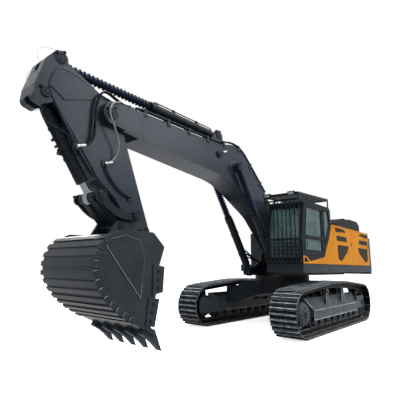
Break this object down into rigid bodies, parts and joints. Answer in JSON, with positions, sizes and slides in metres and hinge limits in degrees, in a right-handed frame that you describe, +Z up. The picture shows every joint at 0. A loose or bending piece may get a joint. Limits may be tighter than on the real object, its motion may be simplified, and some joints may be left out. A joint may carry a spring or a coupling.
{
  "type": "crawler excavator",
  "caption": "Crawler excavator with a turning house, guarded cab, gooseneck boom, short stick and toothed digging bucket worked by hydraulic cylinders.",
  "frame": {"origin": "on the ground under the middle of the machine's box", "axes": "+X forward along the boom, +Y to the cab's side, +Z up"},
  "size_m": [11.8231, 3.38, 4.8285],
  "materials": {
    "track_steel": "worn dark steel",
    "frame_paint": "dark semi-gloss paint",
    "ring_steel": "machined",
    "house_grey": "semi-gloss paint",
    "body_amber": "glossy paint",
    "cab_dark": "semi-gloss paint",
    "guard_black": "satin paint",
    "seat_cloth": "woven cloth",
    "console_plastic": "grained moulding",
    "engine_iron": "painted casting",
    "arm_slate": "semi-gloss paint",
    "barrel_slate": "semi-gloss paint",
    "rod_wrap": "ridged wrap",
    "rod_chrome": "hard chrome",
    "tooth_steel": "cast steel"
  },
  "bodies": {
    "undercarriage": {"carbody": "frame_paint", "slew_ring": "ring_steel", "track_frames": "frame_paint", "track_left": "track_steel", "track_right": "track_steel", "sprockets": "track_steel", "idlers": "track_steel", "bottom_rollers": "track_steel", "carrier_rollers": "track_steel"},
    "house": {"house_frame": "house_grey", "house_sills": "house_grey", "counterweight": "house_grey", "engine_block": "engine_iron", "cab_shell": "cab_dark", "cab_skirt": "body_amber", "front_guard": "guard_black", "roof_guard": "guard_black", "work_lamps": "guard_black", "cab_seat": "seat_cloth", "cab_console": "console_plastic", "bay_panels": "body_amber", "tank_fuel": "house_grey", "tank_oil": "house_grey"},
    "cab_door": {"cab_door": "cab_dark"},
    "hood": {"bay_hood": "body_amber", "air_cleaner_cover": "guard_black", "exhaust_cover": "guard_black"},
    "left_front_door": {"left_front_door": "body_amber"},
    "left_rear_door": {"left_rear_door": "body_amber"},
    "right_door": {"right_door": "body_amber"},
    "boom": {"boom": "arm_slate"},
    "boom_barrels": {"boom_barrels": "barrel_slate"},
    "boom_rods": {"boom_rods": "rod_wrap"},
    "arm_barrel": {"arm_barrel_tube": "barrel_slate"},
    "arm_rod": {"arm_rod": "rod_wrap"},
    "arm": {"stick": "arm_slate"},
    "bucket_barrel": {"bucket_barrel_tube": "barrel_slate"},
    "bucket_rod": {"bucket_rod": "rod_chrome"},
    "guide_links": {"guide_links": "barrel_slate"},
    "bucket_link": {"bucket_link": "barrel_slate"},
    "bucket": {"bucket": "arm_slate", "teeth": "tooth_steel"}
  },
  "joints": [
    {"name": "slew", "type": "hinge", "parent": "undercarriage", "child": "house", "pos_m": [-1.86694, 0, 1.335], "axis": [0, 0, 1], "continuous": true},
    {"name": "boom", "type": "hinge", "parent": "house", "child": "boom", "pos_m": [-1.61694, 0, 2.1], "axis": [0, -1, 0], "range_deg": [-45, 35]},
    {"name": "boom_barrel_swing", "type": "hinge", "parent": "house", "child": "boom_barrels", "pos_m": [-0.74694, 0, 1.42], "axis": [0, -1, 0], "range_deg": [-48.09, 37.4]},
    {"name": "boom_rod_slide", "type": "slide", "parent": "boom_barrels", "child": "boom_rods", "axis": [0.5747, 0, 0.8183], "range_m": [-0.836, 0.6502]},
    {"name": "arm", "type": "hinge", "parent": "boom", "child": "arm", "pos_m": [4.62379, 0, 4.05573], "axis": [0, 1, 0], "range_deg": [-100, 12]},
    {"name": "arm_barrel_swing", "type": "hinge", "parent": "boom", "child": "arm_barrel", "pos_m": [1.38586, 0, 4.6996], "axis": [0, -1, 0], "range_deg": [-1.26, 10.51]},
    {"name": "arm_rod_slide", "type": "slide", "parent": "arm_barrel", "child": "arm_rod", "axis": [1, 0, -0.004], "range_m": [-1.6844, 0.2021]},
    {"name": "bucket", "type": "hinge", "parent": "arm", "child": "bucket", "pos_m": [3.79496, 0, 2.0936], "axis": [0, 1, 0], "range_deg": [-10, 120]},
    {"name": "bucket_barrel_swing", "type": "hinge", "parent": "arm", "child": "bucket_barrel", "pos_m": [5.73138, 0, 4.05031], "axis": [0, -1, 0], "range_deg": [-0.74, 8.87]},
    {"name": "bucket_rod_slide", "type": "slide", "parent": "bucket_barrel", "child": "bucket_rod", "axis": [-0.5714, 0, -0.8207], "range_m": [-0.0936, 1.123]},
    {"name": "guide_link_swing", "type": "hinge", "parent": "arm", "child": "guide_links", "pos_m": [4.03397, 0, 2.38572], "axis": [0, -1, 0], "range_deg": [-96.25, 8.02]},
    {"name": "bucket_link_swing", "type": "hinge", "parent": "bucket", "child": "bucket_link", "pos_m": [4.28532, 0, 2.18705], "axis": [0, -1, 0], "range_deg": [-7.13, 85.58]},
    {"name": "cab_door_hinge", "type": "hinge", "parent": "house", "child": "cab_door", "pos_m": [-1.34864, 1.5, 2], "axis": [0, 0, 1], "range_deg": [0, 110]},
    {"name": "hood_lift", "type": "hinge", "parent": "house", "child": "hood", "pos_m": [-5.37634, 0, 2.75], "axis": [0, -1, 0], "range_deg": [0, 60]},
    {"name": "left_front_door_hinge", "type": "hinge", "parent": "house", "child": "left_front_door", "pos_m": [-2.06724, 1.516, 2], "axis": [0, 0, -1], "range_deg": [0, 100]},
    {"name": "left_rear_door_hinge", "type": "hinge", "parent": "house", "child": "left_rear_door", "pos_m": [-3.69724, 1.516, 2], "axis": [0, 0, -1], "range_deg": [0, 100]},
    {"name": "right_door_hinge", "type": "hinge", "parent": "house", "child": "right_door", "pos_m": [-2.90724, -1.516, 2], "axis": [0, 0, 1], "range_deg": [0, 100]}
  ],
  "couplings": [
    {"joint": "boom_barrel_swing", "follows": "boom", "ratio": 1.0477},
    {"joint": "boom_rod_slide", "follows": "boom", "m_per_rad": 1.0435},
    {"joint": "arm_barrel_swing", "follows": "arm", "ratio": -0.10303},
    {"joint": "arm_rod_slide", "follows": "arm", "m_per_rad": 0.94616},
    {"joint": "bucket_barrel_swing", "follows": "bucket", "ratio": 0.07244},
    {"joint": "bucket_rod_slide", "follows": "bucket", "m_per_rad": 0.52568},
    {"joint": "guide_link_swing", "follows": "bucket", "ratio": -0.78638},
    {"joint": "bucket_link_swing", "follows": "bucket", "ratio": 0.69915}
  ]
}
